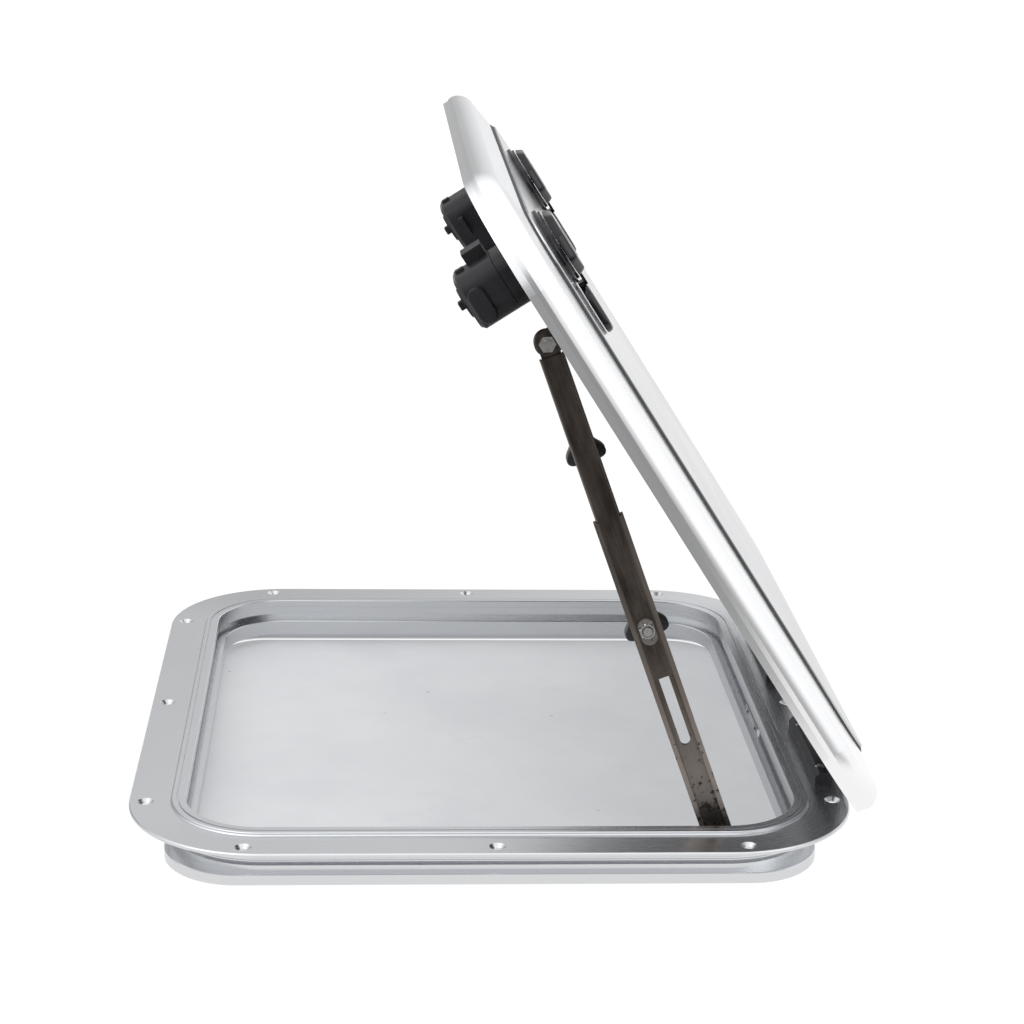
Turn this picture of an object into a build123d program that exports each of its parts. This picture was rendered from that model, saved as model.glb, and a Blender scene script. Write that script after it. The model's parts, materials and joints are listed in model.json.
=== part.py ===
from build123d import *
from math import atan2, cos, degrees, hypot, radians, sin
import os

# Deck hatch: a screwed-down aluminium frame, a hinged lid with two turning latches,
# and a telescopic lid stay.
# Millimetres. The origin is the centre of the deck cut-out, on the deck plane, which is
# the underside of the flange. X runs from the latch side to the hinge side, Y runs along
# the hinge axis, away from the stay, and Z points up out of the deck.
# The lid is modelled shut and then swung open about its hinge axis, because the stored
# pose is the open one.

# --- driving dimensions -------------------------------------------------------------
FLANGE_X = 500.0
FLANGE_Y = 550.0
FLANGE_CORNER = 92.0
FLANGE_THICK = 3.0
LID_OVERHANG = 5.0          # the lid stands this far past the flange on every side
LID_CORNER = 72.0
OPEN_ANGLE = 56.8           # lid angle in the stored pose, from shut

# --- frame section: distances in from the flange's edge, heights from the deck ------
RIM_OUTER = 29.0            # raised rim that the gasket closes on
RIM_INNER = 39.0
RIM_TOP = 5.2
WALL_OUTER = 25.5           # wall that drops through the deck
WALL_GROOVE = 29.0
GROOVE_TOP = -18.5
FRAME_BOTTOM = -23.2
LEDGE_TOP = -11.2
LEDGE_INNER = 44.9
INNER_STEP = -0.4           # fine step below the rim
CHANNEL_TOP = -7.0          # recess above the ledge
CHANNEL_DEPTH = 35.0

# --- lower ring ----------------------------------------------------------------------
RING_OUTER = 24.7
RING_INNER = 35.0
RING_BOTTOM = -31.2
RING_CORNER = 52.0

# --- deck screws ---------------------------------------------------------------------
SCREW_INSET = 11.5          # hole centre to the flange's edge
SCREW_X = 168.0             # hole stations along the X sides, and 0
SCREW_Y = 188.0             # hole stations along the Y sides, and 0
SCREW_HOLE = 3.1            # radius
SINK_RADIUS = 5.6

# --- splice over the frame's butt joint, in the middle of the hinge side -------------
SPLICE_LENGTH = 60.0
SPLICE_SCREW_Y = 18.0

# --- lid section: distances in from the lid's edge, heights from the deck ------------
LIP_BOTTOM = 6.2
LIP_OUTER = 1.2
SKIN = 4.6                  # inner face of the outer skin
BULLNOSE_BOTTOM = 11.2
WEB_OUTER = 30.0            # block that carries the gasket
WEB_INNER = 48.0
WEB_BOTTOM = 12.0
SKIN_UNDER = 22.5
SHELF_UNDER = 20.0
SHELF_TOP = 24.0
SHELF_INNER = 56.0
RIM_LID_EDGE = 35.0         # inner edge of the lid rim's top
RIM_LID_TOP = 29.2
PANEL_INSET = 38.0
PANEL_TOP = 31.8
BEAD_DROP = 1.2             # the sealant stops this far below the panel's top
GASKET_OUTER = 34.0
GASKET_INNER = 44.0
GASKET_ROOF = 15.0
GASKET_BOTTOM = 5.5

# --- hinges --------------------------------------------------------------------------
HINGE_X = 255.1
HINGE_Z = 11.8
HINGE_Y = 107.0             # centre of each hinge, either side of the middle
HINGE_LENGTH = 110.0
KNUCKLE_RADIUS = 5.0
PIN_RADIUS = 2.5
RUNNING_GAP = 0.05
LEAF_LENGTH = 58.0
BASE_X = 231.0              # inner edge of the hinge base
BASE_TOP = 12.0
BASE_SCREW_Y = 40.0
LEAF_SCREW_Y = 20.0

# --- latches -------------------------------------------------------------------------
LATCH_X = -176.0
LATCH_Y = 147.0
SPINDLE_RADIUS = 5.0
ESCUTCHEON_RADIUS = 28.0
ESCUTCHEON_TOP = 36.0
CAP_RADIUS = 25.0
CAP_TOP = 42.2
PADDLE_START = 30.5         # hub centre to the near end of the paddle
PADDLE_REACH = 69.0         # hub centre to its far end
PADDLE_WIDTH = 22.0
PADDLE_TOP = 37.1
NECK_WIDTH = 10.0           # strap from the cap, over the escutcheon, to the paddle
DRUM_X = 40.0               # rounded block, across and along the hinge line
DRUM_Y = 45.0
DRUM_CORNER = 12.0
DRUM_WALL = 3.0
HOUSING_BOTTOM = -7.2
KNOB_BOTTOM = -36.8
CAM_TOP = -24.2
CAM_THICK = 3.5
CAM_REACH = 36.0
CAM_WIDTH = 16.0
STOP_REACH = 28.0           # spindle centre to the end of the knob's stop block
STOP_LOW = -24.0
STOP_HIGH = -9.0
LOCK_PIN_SIDE = 6.0
LOCK_PIN_BOTTOM = -42.8
LOCK_PIN_TOP = -33.8
LOCK_PIN_TRAVEL = 3.0

# --- stay: heights along the stay run from its foot pivot ----------------------------
STAY_FOOT = (156.5, -15.0)            # X, Z of the foot pivot
STAY_HEAD_SHUT = (-140.9, -2.2)       # X, Z of the head pivot with the lid shut
CHANNEL_WIDTH = 20.6
CHANNEL_WALL = 1.7
CHANNEL_END = 248.0
CHANNEL_FRONT = -223.7
CHANNEL_BACK = -216.6
SLOT_LOW = 77.0
SLOT_HIGH = 176.5
SLOT_WIDTH = 7.0
NOTCH_LOW = 211.0           # notch that the upper clamp drops into as the stay shortens
NOTCH_WIDTH = 10.0
CHANNEL_LIP = 1.6           # width of the lips over the channel's mouth
LIP_THICK = 0.8
ARM_WIDTH = 16.8
ARM_LOW = 130.0
ARM_FRONT = -222.6
ARM_WALL = 1.5
ARM_BACK = -218.8
BAR_LOW = 282.0
BAR_FRONT = -220.9
BAR_THICK = 2.0
LOWER_CLAMP = 166.6         # clamp bolt that runs in the slot
UPPER_CLAMP = 294.8
ARM_BEND = 1.2
BOLT_RADIUS = 3.0
EYE_RADIUS = 8.5            # rounded ends at the head pivot
NUT_SIZE = 10.0             # across the flats
BRACKET_FRONT = -226.2
BRACKET_THICK = 2.4

# --- fits and small screws, radii -----------------------------------------------------
CLOSE_FIT = 0.02
HINGE_SCREW_HOLE = 2.1
HINGE_SCREW_SINK = 4.1
HINGE_SINK_DEPTH = 2.4
SMALL_SCREW_HOLE = 1.6      # latch housings and stay bracket
SPLICE_SCREW = 1.15
SPLICE_HOLE = 1.2

HALF_X = FLANGE_X / 2
HALF_Y = FLANGE_Y / 2
LID_HALF_X = HALF_X + LID_OVERHANG
LID_HALF_Y = HALF_Y + LID_OVERHANG
HINGE_SCREW_X = BASE_X + 6
SPLICE_SCREW_Z = (CHANNEL_TOP + LEDGE_TOP) / 2 - 0.5
SIDES = {"near": -1, "far": 1}
OUT = "parts"
os.makedirs(OUT, exist_ok=True)


# --- helpers -------------------------------------------------------------------------
def rounded_path(half_x, half_y, corner):
    """Closed rounded rectangle in the XY plane, starting in the middle of the -Y side."""
    edges = []
    point = Vector(0, -half_y)
    heading = Vector(1, 0)
    runs = [half_x - corner, 2 * (half_y - corner), 2 * (half_x - corner), 2 * (half_y - corner)]
    for run in runs:
        end = point + heading * run
        edges.append(Line(point, end))
        turn = JernArc(start=end, tangent=heading, radius=corner, arc_size=90)
        edges.append(turn)
        point = turn @ 1
        heading = turn % 1
    edges.append(Line(point, Vector(0, -half_y)))
    return Wire([edge.edge() for edge in edges])


def ring(half_x, half_y, corner, edges):
    """Sweep a section, drawn as (distance in, height), round a rounded rectangle."""
    plane = Plane(origin=(0, -half_y, 0), x_dir=(0, 1, 0), z_dir=(1, 0, 0))
    section = plane * make_face(Wire([edge.edge() for edge in edges]))
    return sweep(section, path=rounded_path(half_x, half_y, corner))


def outline(points):
    """Edges of a closed polygon."""
    return [Line(a, b) for a, b in zip(points, points[1:] + points[:1])]


def box(x, y, z):
    """Box from three (low, high) pairs."""
    size = (x[1] - x[0], y[1] - y[0], z[1] - z[0])
    centre = ((x[0] + x[1]) / 2, (y[0] + y[1]) / 2, (z[0] + z[1]) / 2)
    return Pos(*centre) * Box(*size)


def post(x, y, low, high, radius):
    """Vertical cylinder between two heights."""
    return Pos(x, y, (low + high) / 2) * Cylinder(radius, high - low)


def rod(x, z, front, back, radius):
    """Cylinder along Y between two places."""
    return Pos(x, (front + back) / 2, z) * Rot(90, 0, 0) * Cylinder(radius, back - front)


def hexagon(x, z, front, back, across):
    """Hexagonal prism along Y."""
    plane = Plane(origin=(x, front, z), x_dir=(1, 0, 0), z_dir=(0, 1, 0))
    return extrude(plane * RegularPolygon(across / 2, 6, major_radius=False), back - front)


def opened(shape):
    """Swing a shape modelled on the shut lid to the stored pose."""
    return shape.rotate(Axis((HINGE_X, 0, HINGE_Z), (0, 1, 0)), OPEN_ANGLE)


def head_pivot():
    """X, Z of the stay's head pivot in the stored pose."""
    x = STAY_HEAD_SHUT[0] - HINGE_X
    z = STAY_HEAD_SHUT[1] - HINGE_Z
    angle = radians(OPEN_ANGLE)
    return HINGE_X + x * cos(angle) + z * sin(angle), HINGE_Z - x * sin(angle) + z * cos(angle)


HEAD = head_pivot()
STAY_LENGTH = hypot(HEAD[0] - STAY_FOOT[0], HEAD[1] - STAY_FOOT[1])
STAY_TILT = degrees(atan2(HEAD[0] - STAY_FOOT[0], HEAD[1] - STAY_FOOT[1]))


def on_stay(shape):
    """Place a shape drawn up the Z axis from the foot pivot along the tilted stay."""
    return Pos(STAY_FOOT[0], 0, STAY_FOOT[1]) * Rot(0, STAY_TILT, 0) * shape


def save(name, shape):
    """Write one node, which may hold several loose solids."""
    solids = shape.solids()
    node = Compound(children=solids) if len(solids) > 1 else shape.solid()
    export_step(node, f"{OUT}/{name}.step")


# --- frame ---------------------------------------------------------------------------
def deck_screws():
    """Centres of the twelve flange holes."""
    x_side = HALF_X - SCREW_INSET
    y_side = HALF_Y - SCREW_INSET
    along_x = [(x, side * y_side) for side in (-1, 1) for x in (-SCREW_X, 0, SCREW_X)]
    along_y = [(side * x_side, y) for side in (-1, 1) for y in (-SCREW_Y, 0, SCREW_Y)]
    return along_x + along_y


def frame_section():
    """Flange, raised rim, inner recess and ledge, and the wall through the deck."""
    edge = 0.8
    rib = 0.5
    return outline([
        (edge, 0), (0, edge), (0, FLANGE_THICK - edge), (edge, FLANGE_THICK),
        (RIM_OUTER - edge, FLANGE_THICK), (RIM_OUTER, FLANGE_THICK + edge),
        (RIM_OUTER, RIM_TOP - rib), (RIM_OUTER + rib, RIM_TOP),
        (RIM_OUTER + 3.4, RIM_TOP), (RIM_OUTER + 3.6, RIM_TOP - 1), (RIM_OUTER + 4.6, RIM_TOP - 1),
        (RIM_OUTER + 4.8, RIM_TOP), (RIM_INNER - rib, RIM_TOP), (RIM_INNER, RIM_TOP - rib),
        (RIM_INNER, INNER_STEP), (RIM_INNER - 1, INNER_STEP - rib), (RIM_INNER - 1, CHANNEL_TOP),
        (CHANNEL_DEPTH, CHANNEL_TOP - 1), (CHANNEL_DEPTH, LEDGE_TOP),
        (LEDGE_INNER - rib, LEDGE_TOP), (LEDGE_INNER, LEDGE_TOP - rib), (LEDGE_INNER, FRAME_BOTTOM),
        (WALL_GROOVE, FRAME_BOTTOM), (WALL_GROOVE, GROOVE_TOP), (WALL_OUTER + 1, GROOVE_TOP + 3),
        (WALL_OUTER, GROOVE_TOP + 4.5),
        (WALL_OUTER, GROOVE_TOP + 5.2), (WALL_OUTER + rib, GROOVE_TOP + 5.5), (WALL_OUTER, GROOVE_TOP + 5.8),
        (WALL_OUTER, GROOVE_TOP + 6.8), (WALL_OUTER + rib, GROOVE_TOP + 7.1), (WALL_OUTER, GROOVE_TOP + 7.4),
        (WALL_OUTER, 0),
    ])


def frame():
    """One extrusion bent round and butt-jointed, with countersunk screw holes."""
    body = ring(HALF_X, HALF_Y, FLANGE_CORNER, frame_section())
    for x, y in deck_screws():
        body -= post(x, y, -1, FLANGE_THICK + 1, SCREW_HOLE)
        sink = SINK_RADIUS - SCREW_HOLE
        body -= Pos(x, y, FLANGE_THICK - sink / 2) * Cone(SCREW_HOLE, SINK_RADIUS, sink)
    for side in SIDES.values():
        for y in (-BASE_SCREW_Y, BASE_SCREW_Y):
            body -= post(HINGE_SCREW_X, side * HINGE_Y + y, -1, FLANGE_THICK + 1, HINGE_SCREW_HOLE)
    ledge = -HALF_Y + LEDGE_INNER
    body -= rod(*STAY_FOOT, ledge - 9, ledge + 1, BOLT_RADIUS)
    x = HALF_X - CHANNEL_DEPTH
    for y in (-SPLICE_SCREW_Y, SPLICE_SCREW_Y):
        body -= Pos(x + 2, y, SPLICE_SCREW_Z) * Rot(0, 90, 0) * Cylinder(SPLICE_HOLE, 5)
    return body


def lower_ring():
    """Trim ring under the wall, bent to a tighter corner than the frame."""
    half_x = HALF_X - RING_OUTER
    half_y = HALF_Y - RING_OUTER
    width = RING_INNER - RING_OUTER
    edge = 0.6
    section = outline([
        (edge, RING_BOTTOM), (0, RING_BOTTOM + edge), (0, FRAME_BOTTOM - edge), (edge, FRAME_BOTTOM),
        (width, FRAME_BOTTOM), (width, RING_BOTTOM),
    ])
    return ring(half_x, half_y, RING_CORNER, section)


def splice():
    """Bar that fills the inner recess across the frame's butt joint."""
    outer = HALF_X - CHANNEL_DEPTH
    half = SPLICE_LENGTH / 2
    bar = box((outer - 3.4, outer - 0.05), (-half, half), (LEDGE_TOP, CHANNEL_TOP - 1.1))
    bar = chamfer(bar.edges().filter_by(Axis.Z).group_by(Axis.X)[0], 1.5)
    for y in (-SPLICE_SCREW_Y, SPLICE_SCREW_Y):
        bar -= Pos(outer - 2, y, SPLICE_SCREW_Z) * Rot(0, 90, 0) * Cylinder(SPLICE_HOLE, 8)
    return bar


def splice_screws():
    """Two small screws through the splice."""
    outer = HALF_X - CHANNEL_DEPTH
    screws = []
    for y in (-SPLICE_SCREW_Y, SPLICE_SCREW_Y):
        shank = Pos(outer, y, SPLICE_SCREW_Z) * Rot(0, 90, 0) * Cylinder(SPLICE_SCREW, 7)
        head = Pos(outer - 3.9, y, SPLICE_SCREW_Z) * Rot(0, 90, 0) * Cylinder(SPLICE_SCREW + 0.45, 1)
        screws.append(shank + head)
    return Compound(children=screws)


# --- lid -----------------------------------------------------------------------------
def lid_section():
    """Rounded outer skin with a drip lip, gasket block and panel shelf."""
    crown = (13.0, 26.3)
    nose = (0.0, 14.5)
    points = [
        (RIM_LID_EDGE, RIM_LID_TOP), (RIM_LID_EDGE, SHELF_TOP), (SHELF_INNER, SHELF_TOP),
        (SHELF_INNER, SHELF_UNDER), (WEB_INNER, SHELF_UNDER), (WEB_INNER, WEB_BOTTOM),
        (GASKET_INNER, WEB_BOTTOM), (GASKET_INNER, GASKET_ROOF), (GASKET_OUTER, GASKET_ROOF),
        (GASKET_OUTER, WEB_BOTTOM), (WEB_OUTER, WEB_BOTTOM), (WEB_OUTER, SKIN_UNDER),
        (8.0, SKIN_UNDER), (SKIN, 19.0), (SKIN, LIP_BOTTOM), (LIP_OUTER, LIP_BOTTOM),
        (LIP_OUTER, BULLNOSE_BOTTOM), (0.4, BULLNOSE_BOTTOM), nose,
    ]
    edges = [Line(a, b) for a, b in zip(points, points[1:])]
    edges.append(ThreePointArc(nose, (3.2, 21.6), crown))
    edges.append(Line(crown, points[0]))
    return edges


def latch_centres():
    """Name and place of each latch."""
    return [(name, LATCH_X, side * LATCH_Y, side) for name, side in SIDES.items()]


def lid_rim():
    """Bent extrusion, notched for the hinges and drilled for its fittings."""
    body = ring(LID_HALF_X, LID_HALF_Y, LID_CORNER, lid_section())
    notch = HINGE_LENGTH / 2 + 1.5
    for side in SIDES.values():
        y = side * HINGE_Y
        body -= box((LID_HALF_X - 8, LID_HALF_X + 5), (y - notch, y + notch), (0, HINGE_Z + 6.2))
        for offset in (-LEAF_SCREW_Y, LEAF_SCREW_Y):
            body -= post(HINGE_SCREW_X, y + offset, SKIN_UNDER - 1, SKIN_UNDER + 3.2, HINGE_SCREW_HOLE)
    for x in head_screw_xs():
        body -= post(x, head_screw_y(), SHELF_UNDER - 1, SHELF_TOP - 0.8, SMALL_SCREW_HOLE)
    return body


def lid_gasket():
    """Soft D section that hangs from the lid over the frame's rim."""
    radius = (GASKET_INNER - GASKET_OUTER) / 2 - 0.3
    middle = (GASKET_INNER + GASKET_OUTER) / 2
    top = GASKET_ROOF - 0.05
    low = GASKET_BOTTOM + radius
    edges = [
        Line((middle + radius, low), (middle + radius, top)),
        Line((middle + radius, top), (middle - radius, top)),
        Line((middle - radius, top), (middle - radius, low)),
        ThreePointArc((middle - radius, low), (middle, GASKET_BOTTOM), (middle + radius, low)),
    ]
    return ring(LID_HALF_X, LID_HALF_Y, LID_CORNER, edges)


def panel_bead():
    """Black sealant bead between the lid rim and the panel."""
    gap = 0.05
    section = outline([
        (RIM_LID_EDGE + gap, SHELF_TOP + gap), (PANEL_INSET - gap, SHELF_TOP + gap),
        (PANEL_INSET - gap, PANEL_TOP - BEAD_DROP), (RIM_LID_EDGE + gap, RIM_LID_TOP + 0.1),
    ])
    return ring(LID_HALF_X, LID_HALF_Y, LID_CORNER, section)


def lid_panel():
    """Flat plate on the rim's shelf, bored for the latch spindles."""
    width = 2 * (LID_HALF_X - PANEL_INSET)
    length = 2 * (LID_HALF_Y - PANEL_INSET)
    face = RectangleRounded(width, length, LID_CORNER - PANEL_INSET)
    plate = extrude(Pos(0, 0, SHELF_TOP) * face, PANEL_TOP - SHELF_TOP)
    plate = chamfer(plate.edges().group_by(Axis.Z)[-1], 0.5)
    for _, x, y, _ in latch_centres():
        plate -= post(x, y, SHELF_TOP - 1, PANEL_TOP + 1, SPINDLE_RADIUS + 1.5)
        for dx, dy in housing_screw_places():
            plate -= post(x + dx, y + dy, SHELF_TOP - 1, SHELF_TOP + 4.2, SMALL_SCREW_HOLE)
    return plate


# --- hinges --------------------------------------------------------------------------
def hinge_base(side):
    """Black base on the flange: a bar with a knuckle at each end."""
    y = side * HINGE_Y
    half = HINGE_LENGTH / 2
    inner = LEAF_LENGTH / 2 + 0.3
    body = box((BASE_X, HINGE_X - 12.3), (y - half, y + half), (FLANGE_THICK, BASE_TOP))
    body = chamfer(body.edges().filter_by(Axis.Y).group_by(Axis.Z)[-1].sort_by(Axis.X)[0], 3)
    for low, high in ((y - half, y - inner), (y + inner, y + half)):
        body += box((HINGE_X - 12.4, HINGE_X), (low, high), (FLANGE_THICK + 3.9, BASE_TOP))
        body += rod(HINGE_X, HINGE_Z, low, high, KNUCKLE_RADIUS)
        body -= rod(HINGE_X, HINGE_Z, low - 1, high + 1, PIN_RADIUS + CLOSE_FIT)
    for offset in (-BASE_SCREW_Y, BASE_SCREW_Y):
        place = (HINGE_SCREW_X, y + offset)
        body -= post(*place, 0, BASE_TOP + 1, HINGE_SCREW_HOLE)
        body -= post(*place, BASE_TOP - HINGE_SINK_DEPTH, BASE_TOP + 1, HINGE_SCREW_SINK)
    return body


def hinge_pin(side):
    """Plain pin through the three knuckles."""
    y = side * HINGE_Y
    half = HINGE_LENGTH / 2
    return rod(HINGE_X, HINGE_Z, y - half, y + half, PIN_RADIUS)


def hinge_leaf(side):
    """Lid half of the hinge: middle knuckle, web and a plate under the lid's skin."""
    y = side * HINGE_Y
    half = LEAF_LENGTH / 2
    body = rod(HINGE_X, HINGE_Z, y - half, y + half, KNUCKLE_RADIUS)
    span = (y - half, y + half)
    body += box((HINGE_X - 12, HINGE_X - 8.2), span, (HINGE_Z - 1, SKIN_UNDER))
    body += box((HINGE_X - 10, HINGE_X), span, (HINGE_Z - 1, HINGE_Z + KNUCKLE_RADIUS))
    body += box((BASE_X - 4, HINGE_X - 8.2), span, (SKIN_UNDER - 3, SKIN_UNDER))
    body -= rod(HINGE_X, HINGE_Z, y - half - 1, y + half + 1, PIN_RADIUS + RUNNING_GAP)
    for offset in (-LEAF_SCREW_Y, LEAF_SCREW_Y):
        body -= post(HINGE_SCREW_X, y + offset, SKIN_UNDER - 5, SKIN_UNDER + 1, HINGE_SCREW_HOLE)
    return body


def pan_screw(x, y, seat, length, up, shank=2.0, head=3.8):
    """Pan-head screw whose head sits at seat and whose shank runs up or down."""
    way = 1 if up else -1
    low, high = sorted((seat, seat + way * length))
    shape = post(x, y, low, high, shank)
    low, high = sorted((seat, seat - way * 2.2))
    crown = post(x, y, low, high, head)
    outer = crown.edges().group_by(Axis.Z)[0 if up else -1]
    return shape + fillet(outer, 1.0)


def hinge_screw_ys(offset):
    """Stations of a pair of screws on each hinge."""
    return [side * HINGE_Y + y for side in SIDES.values() for y in (-offset, offset)]


def hinge_screws():
    """Screws of both hinge bases, into the flange."""
    seat = BASE_TOP - HINGE_SINK_DEPTH
    screws = [pan_screw(HINGE_SCREW_X, y, seat, 9.4, False) for y in hinge_screw_ys(BASE_SCREW_Y)]
    return Compound(children=screws)


def leaf_screws():
    """Screws of both hinge leaves, up into the lid's skin."""
    seat = SKIN_UNDER - 3
    screws = [pan_screw(HINGE_SCREW_X, y, seat, 6, True) for y in hinge_screw_ys(LEAF_SCREW_Y)]
    return Compound(children=screws)


# --- latches -------------------------------------------------------------------------
def housing_screw_places():
    """Four screws round each latch spindle."""
    radius = DRUM_X / 2 - 6.5
    return [(radius * cos(radians(a)), radius * sin(radians(a))) for a in (45, 135, 225, 315)]


def escutcheon(x, y):
    """Stepped disc on top of the panel."""
    body = post(x, y, PANEL_TOP, PANEL_TOP + 2.4, ESCUTCHEON_RADIUS)
    body = fillet(body.edges().group_by(Axis.Z)[-1], 1.0)
    body += post(x, y, PANEL_TOP + 2.4, ESCUTCHEON_TOP, ESCUTCHEON_RADIUS - 2.2)
    return body - post(x, y, PANEL_TOP - 1, ESCUTCHEON_TOP + 1, SPINDLE_RADIUS + RUNNING_GAP)


def handle(x, y):
    """Turning cap with a thumb paddle that points at the hinge."""
    low = ESCUTCHEON_TOP + 0.4
    cap = Pos(x, y, (low + CAP_TOP) / 2) * Cone(CAP_RADIUS, CAP_RADIUS - 4.5, CAP_TOP - low)
    cap = fillet(cap.edges().group_by(Axis.Z)[-1], 1.6)
    half = PADDLE_WIDTH / 2
    start = x + PADDLE_START + half
    end = x + PADDLE_REACH - half
    floor = PANEL_TOP + 0.5
    lobe = box((start, end), (y - half, y + half), (floor, PADDLE_TOP))
    lobe += post(start, y, floor, PADDLE_TOP, half)
    lobe += post(end, y, floor, PADDLE_TOP, half)
    lobe = fillet(lobe.edges().group_by(Axis.Z)[-1], 3.0)
    neck_end = x + ESCUTCHEON_RADIUS + 4
    neck_side = (y - NECK_WIDTH / 2, y + NECK_WIDTH / 2)
    neck = box((x + 10, neck_end), neck_side, (low, low + 2))
    neck += box((neck_end - 3, neck_end), neck_side, (floor, low + 2))
    body = cap + lobe + neck
    return body - post(x, y, low - 1, CAP_TOP - 3, SPINDLE_RADIUS)


def spindle(x, y):
    """Shaft from the handle to the inner knob."""
    return post(x, y, KNOB_BOTTOM + 8, CAP_TOP - 3.05, SPINDLE_RADIUS - 0.01)


def drum(x, y, low, high, inset=0.0):
    """Rounded block between two heights, inset from the drum's outside."""
    face = RectangleRounded(DRUM_X - 2 * inset, DRUM_Y - 2 * inset, DRUM_CORNER - inset)
    return extrude(Pos(x, y, low) * face, high - low)


def housing(x, y):
    """Fixed drum under the panel."""
    body = drum(x, y, HOUSING_BOTTOM, SHELF_TOP)
    body -= drum(x, y, HOUSING_BOTTOM + DRUM_WALL, SHELF_TOP - 4, DRUM_WALL)
    body -= post(x, y, HOUSING_BOTTOM - 1, SHELF_TOP + 1, SPINDLE_RADIUS + RUNNING_GAP)
    for dx, dy in housing_screw_places():
        body -= post(x + dx, y + dy, SHELF_TOP - 5, SHELF_TOP + 1, SMALL_SCREW_HOLE)
    return body


def housing_screws():
    """Screws that hold both housings to the panel."""
    screws = []
    for _, x, y, _ in latch_centres():
        for dx, dy in housing_screw_places():
            screws.append(pan_screw(x + dx, y + dy, SHELF_TOP - 4, 7.8, True, 1.5, 2.6))
    return Compound(children=screws)


def inner_knob(x, y):
    """Turning block below the housing, with a stop block and an oval grip away from the cam.

    The far latch is the near one turned half a turn.
    """
    side = 1 if y > 0 else -1
    top = HOUSING_BOTTOM - 0.4
    body = drum(x, y, KNOB_BOTTOM, top)
    body = chamfer(body.edges().group_by(Axis.Z)[0], 2.5)
    centre = (x + 3, y + side * (DRUM_Y / 2 - 1), KNOB_BOTTOM + 9)
    grip = extrude(Plane(origin=centre, x_dir=(1, 0, 0), z_dir=(0, side, 0)) * SlotOverall(27, 13), 4)
    grip = fillet(grip.edges().group_by(Axis.Y)[-1 if side > 0 else 0], 1.5)
    body += grip
    stop_x = sorted((x, x + side * STOP_REACH))
    stop_y = sorted((y - side * 4, y - side * DRUM_Y / 2))
    body += box(stop_x, stop_y, (STOP_LOW, STOP_HIGH))
    edge = x - DRUM_X / 2
    body += box((edge - 2, edge + 2), (y - 3, y + 3), (KNOB_BOTTOM + 4, KNOB_BOTTOM + 10))
    body += post(x, y, KNOB_BOTTOM - 2, KNOB_BOTTOM, 11.0)
    body -= post(x, y, KNOB_BOTTOM + 8, top + 1, SPINDLE_RADIUS)
    body -= cam_tool(x, y, 0.05)
    body -= lock_pin_box(x, y, 0.05, LOCK_PIN_TRAVEL + 1)
    return body


def cam_tool(x, y, gap):
    """Tongue that points at the middle of the lid in the unlocked position."""
    side = 1 if y < 0 else -1
    low, high = sorted((y - side * (SPINDLE_RADIUS + 4), y + side * CAM_REACH))
    half = CAM_WIDTH / 2 + gap
    z = (CAM_TOP - CAM_THICK - gap, CAM_TOP + gap)
    return box((x - half, x + half), (low - gap, high + gap), z)


def cam(x, y):
    """Steel tongue that swings under the frame's wall to lock the lid."""
    body = cam_tool(x, y, 0)
    return body - post(x, y, CAM_TOP - 10, CAM_TOP + 5, SPINDLE_RADIUS)


def lock_pin_box(x, y, gap, extra):
    """Square prism through the knob's end, extra longer at its inner end."""
    half = LOCK_PIN_SIDE / 2 + gap
    return box((x - half, x + half), (y - half, y + half), (LOCK_PIN_BOTTOM, LOCK_PIN_TOP + extra))


def lock_pin(x, y):
    """Small square pin that is pushed in to lock the latch."""
    body = lock_pin_box(x, y, 0, 0)
    return chamfer(body.edges().group_by(Axis.Z)[0], 0.6)


# --- stay ----------------------------------------------------------------------------
def obround(low, high, width, front, back):
    """Slot-shaped prism along the stay, between two heights, across Y."""
    middle = (low + high) / 2
    plane = Plane(origin=(0, front, middle), x_dir=(0, 0, 1), z_dir=(0, 1, 0))
    return extrude(plane * SlotOverall(high - low, width), back - front)


def stay_channel():
    """Lower member: lipped C channel open to the -Y side, slotted for the clamp bolt."""
    half = CHANNEL_WIDTH / 2
    inner = half - CHANNEL_WALL
    mouth = inner - CHANNEL_LIP
    inside = CHANNEL_FRONT + LIP_THICK
    body = box((-half, half), (CHANNEL_FRONT, CHANNEL_BACK), (0, CHANNEL_END))
    body += rod(0, 0, CHANNEL_FRONT, CHANNEL_BACK, half)
    length = (-half - 1, CHANNEL_END + 1)
    body -= box((-inner, inner), (inside, CHANNEL_BACK - CHANNEL_WALL), length)
    body -= box((-mouth, mouth), (CHANNEL_FRONT - 1, inside + 1), length)
    body -= obround(SLOT_LOW, SLOT_HIGH, SLOT_WIDTH, CHANNEL_FRONT, CHANNEL_BACK + 1)
    body -= obround(NOTCH_LOW, CHANNEL_END + 20, NOTCH_WIDTH, inside, CHANNEL_BACK + 1)
    body -= rod(0, 0, CHANNEL_FRONT - 1, CHANNEL_BACK + 1, BOLT_RADIUS + RUNNING_GAP)
    return on_stay(body)


def stay_arm():
    """Middle member: channel with its web to the -Y side, sliding inside the lower one."""
    half = ARM_WIDTH / 2
    top = STAY_LENGTH - 10
    body = box((-half, half), (ARM_FRONT, ARM_BACK), (ARM_LOW, top))
    body = fillet(body.edges().filter_by(Axis.Z).group_by(Axis.Y)[0], ARM_BEND)
    inner = half - ARM_WALL
    body -= box((-inner, inner), (ARM_FRONT + ARM_WALL, ARM_BACK + 1), (ARM_LOW - 1, top + 1))
    body -= obround(LOWER_CLAMP - 12, LOWER_CLAMP + 22, 11.5, ARM_FRONT - 1, ARM_FRONT + 0.6)
    for height in (LOWER_CLAMP, UPPER_CLAMP):
        body -= rod(0, height, ARM_FRONT - 1, ARM_BACK, BOLT_RADIUS + CLOSE_FIT)
    return on_stay(body)


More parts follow.
